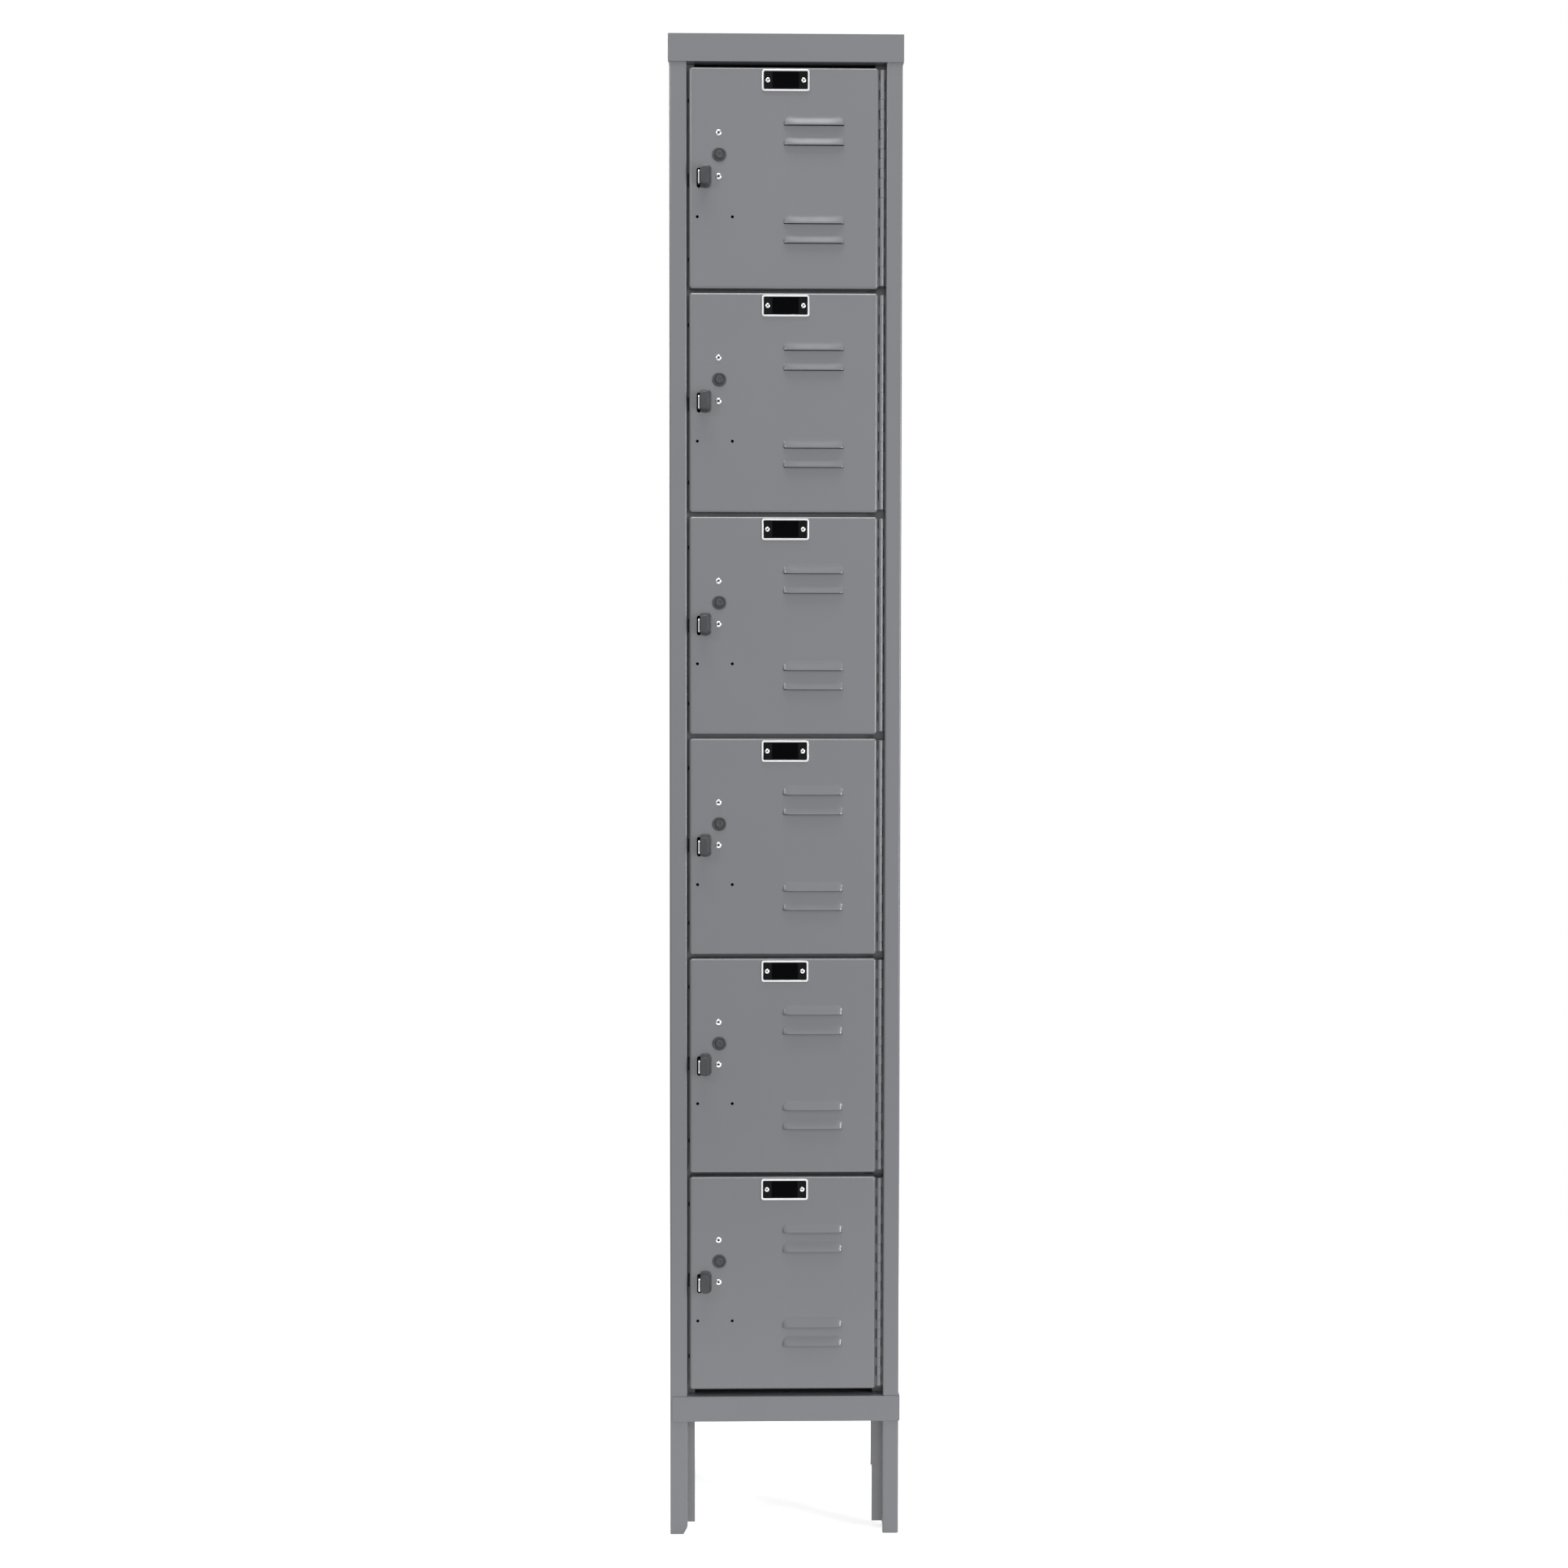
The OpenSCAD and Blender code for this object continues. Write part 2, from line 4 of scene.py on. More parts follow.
import bpy
import numpy as np
from mathutils import Matrix, Vector
from mathutils.geometry import delaunay_2d_cdt


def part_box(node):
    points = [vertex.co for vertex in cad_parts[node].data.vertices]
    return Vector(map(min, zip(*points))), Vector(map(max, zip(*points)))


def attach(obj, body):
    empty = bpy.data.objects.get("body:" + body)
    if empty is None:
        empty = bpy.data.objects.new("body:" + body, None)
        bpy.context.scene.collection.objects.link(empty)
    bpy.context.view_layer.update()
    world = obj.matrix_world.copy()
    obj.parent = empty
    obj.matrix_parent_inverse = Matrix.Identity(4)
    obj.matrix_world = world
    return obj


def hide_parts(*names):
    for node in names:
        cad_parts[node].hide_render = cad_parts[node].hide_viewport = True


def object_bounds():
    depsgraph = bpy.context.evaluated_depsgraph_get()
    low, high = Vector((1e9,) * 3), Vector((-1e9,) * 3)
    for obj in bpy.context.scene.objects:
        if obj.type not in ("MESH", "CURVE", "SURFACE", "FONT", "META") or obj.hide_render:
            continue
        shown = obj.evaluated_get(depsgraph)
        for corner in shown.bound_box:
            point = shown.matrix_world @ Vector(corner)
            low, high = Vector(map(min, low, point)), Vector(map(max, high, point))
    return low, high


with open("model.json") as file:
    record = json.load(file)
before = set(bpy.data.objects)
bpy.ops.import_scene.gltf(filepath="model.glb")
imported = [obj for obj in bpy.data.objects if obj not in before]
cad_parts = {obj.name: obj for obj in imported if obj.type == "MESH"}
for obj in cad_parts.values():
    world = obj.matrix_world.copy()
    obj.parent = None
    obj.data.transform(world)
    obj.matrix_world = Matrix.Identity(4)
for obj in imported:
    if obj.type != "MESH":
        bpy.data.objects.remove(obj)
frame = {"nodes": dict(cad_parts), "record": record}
CAD_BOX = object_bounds()
NODES = frame["nodes"]
RECORD = frame["record"]
MM = 0.001
DOORS = range(1, 7)

# ---- Where things are, in millimetres, from the CAD frame ----

FACE_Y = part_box("left_upright")[0].y / MM


def node_box(node):
    lo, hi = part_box(node)
    return lo / MM, hi / MM


# ---- Meshes ----


def make_piece(name, verts, faces, materials, body, replaces, face_material=None):
    """A mesh piece that rides on a body, from points in millimetres in the locker's own frame."""
    mesh = bpy.data.meshes.new(name)
    mesh.from_pydata([tuple(x * MM for x in v) for v in verts], [], faces)
    for m in materials:
        mesh.materials.append(m)
    if face_material is not None:
        mesh.polygons.foreach_set("material_index", face_material)
    mesh.shade_smooth()
    obj = bpy.data.objects.new(name, mesh)
    bpy.context.scene.collection.objects.link(obj)
    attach(obj, body)
    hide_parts(*replaces)
    return obj


def bake_modifiers(obj, sharp_angle):
    """Applies obj's modifiers and marks edges over sharp_angle degrees as sharp."""
    bpy.context.view_layer.update()
    evaluated = obj.evaluated_get(bpy.context.evaluated_depsgraph_get())
    mesh = bpy.data.meshes.new_from_object(evaluated)
    mesh.name = obj.name
    obj.modifiers.clear()
    obj.data = mesh
    mesh.shade_smooth()
    mesh.set_sharp_from_angle(angle=math.radians(sharp_angle))


def solidify(obj, thickness, sharp_angle):
    """Gives a front skin its sheet thickness, behind it."""
    m = obj.modifiers.new("thickness", "SOLIDIFY")
    m.thickness = thickness * MM
    m.offset = -1
    m.use_even_offset = False
    bake_modifiers(obj, sharp_angle)


def rounded_loop(w, h, r, n, cx, cz):
    """Points of a rectangle with round corners of n steps, anticlockwise seen from the front."""
    points = []
    for sx, sz, start in ((1, -1, -90), (1, 1, 0), (-1, 1, 90), (-1, -1, 180)):
        for k in range(n + 1):
            a = math.radians(start + 90 * k / n)
            x = cx + sx * (w / 2 - r) + r * math.cos(a)
            z = cz + sz * (h / 2 - r) + r * math.sin(a)
            points.append((x, z))
    return points


def circle_loop(r, n, cx, cz):
    angles = [2 * math.pi * k / n for k in range(n)]
    return [(cx + r * math.cos(a), cz + r * math.sin(a)) for a in angles]


def bridge(a, b, n, closed=True):
    """Quads between two rows of n points that start at indices a and b."""
    last = n if closed else n - 1
    return [(a + k, a + (k + 1) % n, b + (k + 1) % n, b + k) for k in range(last)]


def inside(x, z, loop):
    """Whether a point lies within a loop: an odd number of edges pass to its right."""
    hit = False
    for (x0, z0), (x1, z1) in zip(loop, loop[1:] + loop[:1]):
        if (z0 > z) != (z1 > z) and x < x0 + (z - z0) * (x1 - x0) / (z1 - z0):
            hit = not hit
    return hit


def flat_with_holes(outer, guides, holes):
    """Triangles that fill the outer loop, but not the holes, with edges along the guide loops."""
    points, edges = [], []
    for loop in [outer] + guides + holes:
        start = len(points)
        points += [Vector(p) for p in loop]
        edges += [(start + k, start + (k + 1) % len(loop)) for k in range(len(loop))]
    whole_hull, epsilon = 0, 1e-7
    verts, _, tris, *_ = delaunay_2d_cdt(points, edges, [], whole_hull, epsilon)
    kept = []
    for t in tris:
        x = sum(verts[i].x for i in t) / 3
        z = sum(verts[i].y for i in t) / 3
        if not any(inside(x, z, h) for h in holes):
            area = sum(
                verts[t[i]].x * verts[t[(i + 1) % 3]].y - verts[t[(i + 1) % 3]].x * verts[t[i]].y
                for i in range(3)
            )
            kept.append(tuple(t) if area > 0 else tuple(reversed(t)))
    return [(v.x, v.y) for v in verts], kept


def merged(verts, faces, tol=1e-4):
    """Welds points that coincide and drops faces that close up."""
    index, keep, where = {}, [], []
    for v in verts:
        key = tuple(round(c / tol) for c in v)
        if key not in index:
            index[key] = len(keep)
            keep.append(v)
        where.append(index[key])
    out = []
    for f in faces:
        g = []
        for i in f:
            j = where[i]
            if j not in g:
                g.append(j)
        if len(g) > 2:
            out.append(tuple(g))
    return keep, out


def lathe(profile, n, cx, cz):
    """Points and quads of a profile [(radius, how far out)] turned about an axis along the depth."""
    verts, faces = [], []
    for r, out in profile:
        for k in range(n):
            a = 2 * math.pi * k / n
            verts.append((cx + r * math.cos(a), FACE_Y - out, cz + r * math.sin(a)))
    for j in range(len(profile) - 1):
        faces += bridge(j * n, (j + 1) * n, n)
    return verts, faces


# ---- Materials ----


def nodes_of(material):
    material.use_nodes = True
    tree = material.node_tree
    return tree, tree.nodes, tree.links, tree.nodes["Principled BSDF"]


def noise(tree, scale, detail=2.0, roughness=0.5, stretch=None):
    coords = tree.nodes.new("ShaderNodeTexCoord")
    out = coords.outputs["Object"]
    if stretch:
        mapping = tree.nodes.new("ShaderNodeMapping")
        mapping.inputs["Scale"].default_value = stretch
        tree.links.new(out, mapping.inputs["Vector"])
        out = mapping.outputs["Vector"]
    tex = tree.nodes.new("ShaderNodeTexNoise")
    tex.inputs["Scale"].default_value = scale
    tex.inputs["Detail"].default_value = detail
    tex.inputs["Roughness"].default_value = roughness
    tree.links.new(out, tex.inputs["Vector"])
    return tex.outputs["Fac"]


def remap(tree, value, from_min, from_max, to_min, to_max, easing="LINEAR"):
    """Maps a value from one pair of limits to another."""
    node = tree.nodes.new("ShaderNodeMapRange")
    node.interpolation_type = easing
    limits = (("From Min", from_min), ("From Max", from_max), ("To Min", to_min), ("To Max", to_max))
    for socket, limit in limits:
        node.inputs[socket].default_value = limit
    tree.links.new(value, node.inputs["Value"])
    return node.outputs["Result"]


def spread(tree, value, low, high):
    """Maps a noise's middle range to low..high."""
    return remap(tree, value, 0.3, 0.7, low, high)


def bump(tree, height, distance, after=None):
    b = tree.nodes.new("ShaderNodeBump")
    b.inputs["Distance"].default_value = distance
    b.inputs["Strength"].default_value = 1.0
    tree.links.new(height, b.inputs["Height"])
    if after is not None:
        tree.links.new(after, b.inputs["Normal"])
    return b.outputs["Normal"]


def tinted(tree, fac, dark, light):
    """Colours from dark to light as fac goes from 0 to 1."""
    mix = tree.nodes.new("ShaderNodeMix")
    mix.data_type = "RGBA"
    mix.inputs["A"].default_value = (*dark, 1)
    mix.inputs["B"].default_value = (*light, 1)
    tree.links.new(fac, mix.inputs["Factor"])
    return mix.outputs["Result"]


def shade(colour, k):
    return tuple(c * k for c in colour)


def surface(name, colour, vary, roughness, rough_vary, metallic=0.0, specular=0.5, peel=(900, 0.00003),
            wave=None, mottle=6.0, stretch=None):
    """A coated or metal surface: cloudy colour, uneven gloss, fine grain and slow waves in the sheet.

    peel and wave are each a noise scale and a height in metres.
    """
    material = bpy.data.materials.new(name)
    tree, _, links, shader = nodes_of(material)
    shader.inputs["Metallic"].default_value = metallic
    shader.inputs["Specular IOR Level"].default_value = specular
    patches = noise(tree, mottle, detail=4.0, roughness=0.6, stretch=stretch)
    cloud = spread(tree, patches, 0.0, 1.0)
    colours = tinted(tree, cloud, shade(colour, 1 - vary), shade(colour, 1 + vary))
    links.new(colours, shader.inputs["Base Color"])
    finer = 9
    smears = noise(tree, mottle * finer, detail=3.0, roughness=0.6, stretch=stretch)
    gloss = spread(tree, smears, roughness - rough_vary, roughness + rough_vary)
    links.new(gloss, shader.inputs["Roughness"])
    scale, height = peel
    normal = bump(tree, noise(tree, scale, stretch=stretch), height)
    if wave:
        scale, height = wave
        normal = bump(tree, noise(tree, scale, detail=1.0, roughness=0.4), height, normal)
    links.new(normal, shader.inputs["Normal"])
    return material


GREY = (0.152, 0.156, 0.169)
FRAME_GREY = shade(GREY, 0.99)
ZINC = (0.70, 0.71, 0.74)
door_paint = surface("door_powder_coat", GREY, 0.020, 0.31, 0.03, specular=1.0, wave=(7.0, 0.0012))
frame_paint = surface("frame_powder_coat", FRAME_GREY, 0.020, 0.31, 0.03, specular=1.0, wave=(5.0, 0.0006))
body_paint = surface("body_powder_coat", FRAME_GREY, 0.025, 0.33, 0.03, specular=1.0, wave=(4.0, 0.0020))
zinc = surface("zinc_plate", ZINC, 0.06, 0.30, 0.06, metallic=1.0, peel=(1500, 0.00002), mottle=60.0)
rivet_metal = surface("rivet_aluminium", (0.92, 0.92, 0.93), 0.03, 0.24, 0.05, metallic=1.0,
                      peel=(2500, 0.00001), mottle=200.0)
# Near-black for the rivets' mandrel holes: the mandrel's steel, darkened further to paint the shade inside
# the shallow holes.
mandrel_steel_and_hole_shade = surface("rivet_mandrel_steel", (0.030, 0.030, 0.032), 0.2, 0.5, 0.08, metallic=0.6,
                        peel=(2500, 0.00002), mottle=200.0)
rim_metal = surface("plate_rim_aluminium", (0.86, 0.86, 0.87), 0.03, 0.34, 0.05, metallic=1.0,
                    peel=(1800, 0.00001), mottle=120.0, stretch=(0.15, 1.0, 1.0))
plate_black = surface("plate_black_enamel", (0.0045, 0.0045, 0.005), 0.2, 0.5, 0.05, specular=0.10,
                      peel=(1600, 0.00002), mottle=90.0)
label_black = surface("plate_black_label", (0.0008, 0.0008, 0.0015), 0.2, 0.6, 0.05, specular=0.03,
                      peel=(2600, 0.00001), mottle=90.0)
plastic = surface("black_moulding", (0.050, 0.051, 0.055), 0.06, 0.40, 0.05, specular=0.45,
                  peel=(2200, 0.00003), mottle=150.0)
rubber = surface("silencer_rubber", (0.014, 0.014, 0.015), 0.15, 0.7, 0.08, specular=0.3,
                 peel=(2000, 0.00005), mottle=120.0)
# A copy of the zinc plate for the padlock lugs, into which shade is painted behind the doors' faces below.
shade_painted_lug_zinc = surface("lug_zinc_plate", ZINC, 0.06, 0.34, 0.06, metallic=1.0, peel=(1500, 0.00002), mottle=60.0)


# A copy of the frame's powder coat for the hinge leaves, into which shade is painted in the gap beside the
# doors below.
shade_painted_leaf_coat = surface("hinge_leaf_powder_coat_painted_shade", FRAME_GREY, 0.020, 0.31, 0.03, specular=1.0)


def paint_shade_behind(material, front, back, low):
    """Paints shade into a material's colour, from its own colour at depth front to low times that at depth
    back.

    The depths are in millimetres behind the frame's face.
    """
    tree, nodes, links, shader = nodes_of(material)
    colour = shader.inputs["Base Color"].links[0].from_socket
    coords = nodes.new("ShaderNodeTexCoord")
    parts = nodes.new("ShaderNodeSeparateXYZ")
    links.new(coords.outputs["Object"], parts.inputs["Vector"])
    level = remap(tree, parts.outputs["Y"], (FACE_Y + front) * MM, (FACE_Y + back) * MM, 1.0, low)
    mix = nodes.new("ShaderNodeMix")
    mix.data_type = "RGBA"
    mix.blend_type = "MULTIPLY"
    mix.inputs["Factor"].default_value = 1.0
    links.new(colour, mix.inputs["A"])
    links.new(level, mix.inputs["B"])
    links.new(mix.outputs["Result"], shader.inputs["Base Color"])


# Painted shade: the lugs' feet behind the doors' slots fade to near black, where the slots' shade falls.
paint_shade_behind(shade_painted_lug_zinc, front=-4.0, back=2.0, low=0.04)
# Painted shade: the hinge leaves' arms darken to a fifth of their colour in the narrow gap between door and
# upright.
paint_shade_behind(shade_painted_leaf_coat, front=4.5, back=7.0, low=0.2)

# ---- CAD nodes ----

SLOT_MATERIALS = {
    "frame_powder_coat": frame_paint,
    "body_powder_coat": body_paint,
    "door_powder_coat": door_paint,
    "zinc_steel": zinc,
    "plate_aluminium": rim_metal,
    "black_plastic": plastic,
    "black_rubber": rubber,
}
NODE_MATERIALS = {
    "body_rivets": body_paint,
    "padlock_lugs": shade_painted_lug_zinc,
    "frame_hinge_leaves": shade_painted_leaf_coat,
}
NODE_MATERIALS.update(("door_%d_rivets" % i, rivet_metal) for i in DOORS)
EDGE_ROUNDS = {"top_rail": 1.0, "bottom_rail": 1.4, "padlock_lugs": 0.35, "cross_members": 0.3}
CAD_SHARP_ANGLE = 32
WELD_DISTANCE = 2e-6


def finish_cad_node(node, material, edge):
    """Welds a CAD node's split corners for shading, rounds its edges where edge is set, and paints it."""
    obj = NODES[node]
    obj.data.materials.clear()
    obj.data.materials.append(material)
    obj.data.shade_smooth()
    weld = obj.modifiers.new("weld", "WELD")
    weld.merge_threshold = WELD_DISTANCE
    if edge:
        b = obj.modifiers.new("edge", "BEVEL")
        b.width = edge * MM
        b.segments = 3
        b.limit_method = "ANGLE"
        b.angle_limit = math.radians(CAD_SHARP_ANGLE)
        b.use_clamp_overlap = True
    split = obj.modifiers.new("creases", "EDGE_SPLIT")
    split.split_angle = math.radians(CAD_SHARP_ANGLE)
    flat = obj.modifiers.new("flat_faces", "WEIGHTED_NORMAL")
    flat.mode = "FACE_AREA"
    flat.weight = 90


for entry in RECORD["subparts"]:
    cad_node = entry["node"]
    paint = NODE_MATERIALS.get(cad_node, SLOT_MATERIALS[entry["material_slot"]])
    finish_cad_node(cad_node, paint, EDGE_ROUNDS.get(cad_node))

# ---- Doors, in millimetres: across and down from the upper left corner, out from the face ----

BEND_R, BEND_POINTS = 3.4, 9
CORNER_R, CORNER_STEPS = 4.0, 8
SHEET_T = 1.4
EDGE_D = 18.0
BEND_HOLD, RIM_HOLD = 0.4, 0.5
GUIDE_GAP = 0.5

HOLE_POINTS = 40
LOCK_HOLE_R, SMALL_HOLE_R = 8.0, 2.0
LOCK_HOLE = (39.4, 113)
CATCH_RIVETS = ((38.4, 84.6), (38.4, 141))
SCREW_HOLES = ((10.7, 193.3), (56.5, 193.3))
LUG_SLOT = (12.8, 143)
LUG_SLOT_W, LUG_SLOT_H, LUG_SLOT_R = 6, 26, 2.99

LOUVRE_W, LOUVRE_H, LOUVRE_OUT, LOUVRE_CUT = 79.0, 13.0, 4.2, 0.8
LOUVRE_ACROSS = 163.0
LOUVRES_DOWN = (74.3, 100.2, 201.6, 226.8)
SHOULDER = 0.7 * LOUVRE_H
SIDE_POINTS, SHOULDER_POINTS, TOP_POINTS = 3, 13, 21
END_POINTS = SIDE_POINTS + SHOULDER_POINTS
HOOD_ROWS = 10
LIP_HALF = 28.6
LIP_CROWDING = 1.25
LIP_SQUARENESS = 9


def louvre_outline(grow=0.0):
    """The top and sides of a louvre's footprint from its lower left end to its lower right."""
    half, top, r = LOUVRE_W / 2 + grow, LOUVRE_H + grow, SHOULDER + grow
    left = [(-half, z) for z in np.linspace(0, top - r, SIDE_POINTS + 1)[:-1]]
    for a in np.linspace(0, math.pi / 2, SHOULDER_POINTS):
        left.append((-half + r - r * math.cos(a), top - r + r * math.sin(a)))
    across = [(x, top) for x in np.linspace(-half + r, half - r, TOP_POINTS)[1:-1]]
    return left + across + [(-x, z) for x, z in reversed(left)]


def ramp(t):
    """Rise of the hood from its top edge to its lip: soft start, straight slope, eased lip."""
    start, ease, eased = 0.4, 0.85, 0.75
    steps = np.linspace(0, 1, 101)
    slope = np.minimum(steps / start, 1.0) * (1 - eased * np.clip((steps - ease) / (1 - ease), 0, 1))
    rise = np.concatenate([[0], np.cumsum((slope[1:] + slope[:-1]) / 2)])
    return float(np.interp(t, steps, rise / rise[-1]))


def louvre_patch(cx, cz):
    """Points and quads of one hood, whose lip is open below."""
    outline = louvre_outline()
    n = len(outline)
    half = LOUVRE_W / 2
    verts, faces = [], []
    for j in range(HOOD_ROWS + 1):
        t = j / HOOD_ROWS
        for i, (x, z) in enumerate(outline):
            k = min(i, n - 1 - i)
            if k < END_POINTS:
                inward = (half - LIP_HALF) * (k / (END_POINTS - 1)) ** LIP_CROWDING
                lip_x = math.copysign(half - inward, x)
            else:
                lip_x = x * LIP_HALF / (half - SHOULDER)
            lip_out = LOUVRE_OUT * math.sqrt(max(0.0, 1 - (abs(lip_x) / half) ** LIP_SQUARENESS))
            end = max(0.0, 1 - k / (END_POINTS + 2.0))
            g = end * math.sin(t * math.pi / 2) + (1 - end) * ramp(t)
            verts.append((cx + x + (lip_x - x) * t, FACE_Y - lip_out * g, cz + z * (1 - t)))
    for j in range(HOOD_ROWS):
        faces += [tuple(reversed(f)) for f in bridge(j * n, (j + 1) * n, n, closed=False)]
    return verts, faces


def door_skin(x0, x1, z0, z1):
    """The outer skin of a door: face, bent edges, louvre hoods and holes."""
    w, h = x1 - x0, z1 - z0
    cx, cz = (x0 + x1) / 2, (z0 + z1) / 2

    def at(across, down):
        return x0 + across, z1 - down

    flat_w, flat_h, flat_r = w - 2 * BEND_R, h - 2 * BEND_R, CORNER_R - BEND_R
    flat = rounded_loop(flat_w, flat_h, flat_r, CORNER_STEPS, cx, cz)
    guides = [rounded_loop(flat_w - 2 * GUIDE_GAP, flat_h - 2 * GUIDE_GAP, flat_r, CORNER_STEPS, cx, cz)]
    holes = [circle_loop(LOCK_HOLE_R, HOLE_POINTS, *at(*LOCK_HOLE))]
    for spot in CATCH_RIVETS + SCREW_HOLES:
        holes.append(circle_loop(SMALL_HOLE_R, HOLE_POINTS, *at(*spot)))
    holes.append(rounded_loop(LUG_SLOT_W, LUG_SLOT_H, LUG_SLOT_R, CORNER_STEPS, *at(*LUG_SLOT)))
    verts, faces = [], []
    for down in LOUVRES_DOWN:
        lx, lz = at(LOUVRE_ACROSS, down)
        outline = [(lx + x, lz + z) for x, z in louvre_outline()]
        slit = [(lx + x, lz - LOUVRE_CUT) for x in (LOUVRE_W / 2 - LOUVRE_CUT, LOUVRE_CUT - LOUVRE_W / 2)]
        holes.append(list(reversed(outline + slit)))
        around = [(lx + x, lz + z) for x, z in louvre_outline(GUIDE_GAP)]
        around[0] = (around[0][0], lz - LOUVRE_CUT - GUIDE_GAP)
        around[-1] = (around[-1][0], lz - LOUVRE_CUT - GUIDE_GAP)
        guides.append(list(reversed(around)))
        v, f = louvre_patch(lx, lz)
        faces += [tuple(i + len(verts) for i in q) for q in f]
        verts += v
    points, tris = flat_with_holes(flat, guides, holes)
    faces += [tuple(i + len(verts) for i in t) for t in tris]
    verts += [(x, FACE_Y, z) for x, z in points]
    rings = []
    for a in np.linspace(0, math.pi / 2, BEND_POINTS):
        rings.append((-BEND_R + BEND_R * math.sin(a), BEND_R * (1 - math.cos(a))))
    rings += [(0.0, BEND_R + BEND_HOLD), (0.0, EDGE_D - RIM_HOLD), (0.0, EDGE_D)]
    n = len(flat)
    for k, (out, depth) in enumerate(rings):
        loop = rounded_loop(w + 2 * out, h + 2 * out, CORNER_R + out, CORNER_STEPS, cx, cz)
        start = len(verts)
        verts += [(x, FACE_Y + depth, z) for x, z in loop]
        if k:
            faces += [tuple(reversed(f)) for f in bridge(start - n, start, n)]
    return merged(verts, faces)


def make_door(i):
    """The door's pan, in sheet metal, with its louvres and holes."""
    lo, hi = node_box("door_%d_panel" % i)
    verts, faces = door_skin(lo.x, hi.x, lo.z, hi.z)
    obj = make_piece("door_%d_face" % i, verts, faces, [door_paint], "door_%d" % i,
                     ["door_%d_panel" % i])
    solidify(obj, SHEET_T, sharp_angle=38)


def stacked(levels, shape):
    """Points and quads of loops shape(inset) at each (inset, out) level, closed by the last one."""
    verts, faces = [], []
    n = 0
    for k, (inset, out) in enumerate(levels):
        loop = shape(inset)
        n = len(loop)
        start = len(verts)
        verts += [(x, FACE_Y - out, z) for x, z in loop]
        if k:
            faces += bridge(start - n, start, n)
    faces.append(tuple(range(len(verts) - n, len(verts))))
    return verts, faces


# ---- Number plates: each level is (inset, out) ----

PLATE_W, PLATE_H, PLATE_R, PLATE_STEPS = 62.0, 28.0, 3.0, 7
PLATE_RIM = [(0, 0), (0, 1.0), (0.05, 1.2), (0.2, 1.34), (0.45, 1.4),
             (1.75, 1.4), (2.0, 1.34), (2.15, 1.2), (2.2, 0.85)]
PLATE_FIELD = [(2.25, 0.8), (2.6, 0.8)]
LABEL_W, LABEL_H, LABEL_R = 35.0, 21.4, 0.9
LABEL_LEVELS = [(-0.4, 0.8), (0, 0.78), (0.15, 0.55), (0.4, 0.52)]
RIM, FIELD, LABEL = range(3)


def make_number_plate(i):
    """Bright rim round a black field, with a blank label sunk between the rivets."""
    lo, hi = node_box("door_%d_number_plate" % i)
    cx, cz = (lo.x + hi.x) / 2, (lo.z + hi.z) / 2

    def shape(inset):
        r = max(PLATE_R - 0.6 * inset, 0.6)
        return rounded_loop(PLATE_W - 2 * inset, PLATE_H - 2 * inset, r, PLATE_STEPS, cx, cz)

    n = len(shape(0))
    verts, faces = stacked(PLATE_RIM + PLATE_FIELD, shape)
    faces.pop()
    kinds = [RIM] * (n * (len(PLATE_RIM) - 1)) + [FIELD] * (n * len(PLATE_FIELD))
    for k, (inset, out) in enumerate(LABEL_LEVELS):
        start = len(verts)
        loop = rounded_loop(LABEL_W - 2 * inset, LABEL_H - 2 * inset, LABEL_R, PLATE_STEPS, cx, cz)
        verts += [(x, FACE_Y - out, z) for x, z in loop]
        faces += bridge(start - n, start, n)
        kinds += [FIELD if k < len(LABEL_LEVELS) - 1 else LABEL] * n
    faces.append(tuple(range(len(verts) - n, len(verts))))
    kinds.append(LABEL)
    obj = make_piece("door_%d_number_plate_dressed" % i, verts, faces, [rim_metal, plate_black, label_black],
                     "door_%d" % i, ["door_%d_number_plate" % i], kinds)
    obj.data.set_sharp_from_angle(angle=math.radians(50))


# ---- Pulls: each level is (inset, corner radius, out) ----

PULL_W, PULL_H, PULL_OUT, PULL_WALL = 13.2, 28.0, 15.0, 1.7
PULL_ARCH = 0.13
PULL_FOOT = [(-1.5, 3.0, 0.02), (-1.5, 3.0, 0.7), (-1.3, 3.0, 1.0), (-0.5, 3.2, 1.2),
             (-0.15, 3.4, 1.4), (0.0, 3.5, 1.9), (0.35, 3.6, 2.6)]
PULL_TAPER, PULL_FILLET, PULL_TOP_R, PULL_SHORT = 2.5, 1.4, 3.0, 0.15


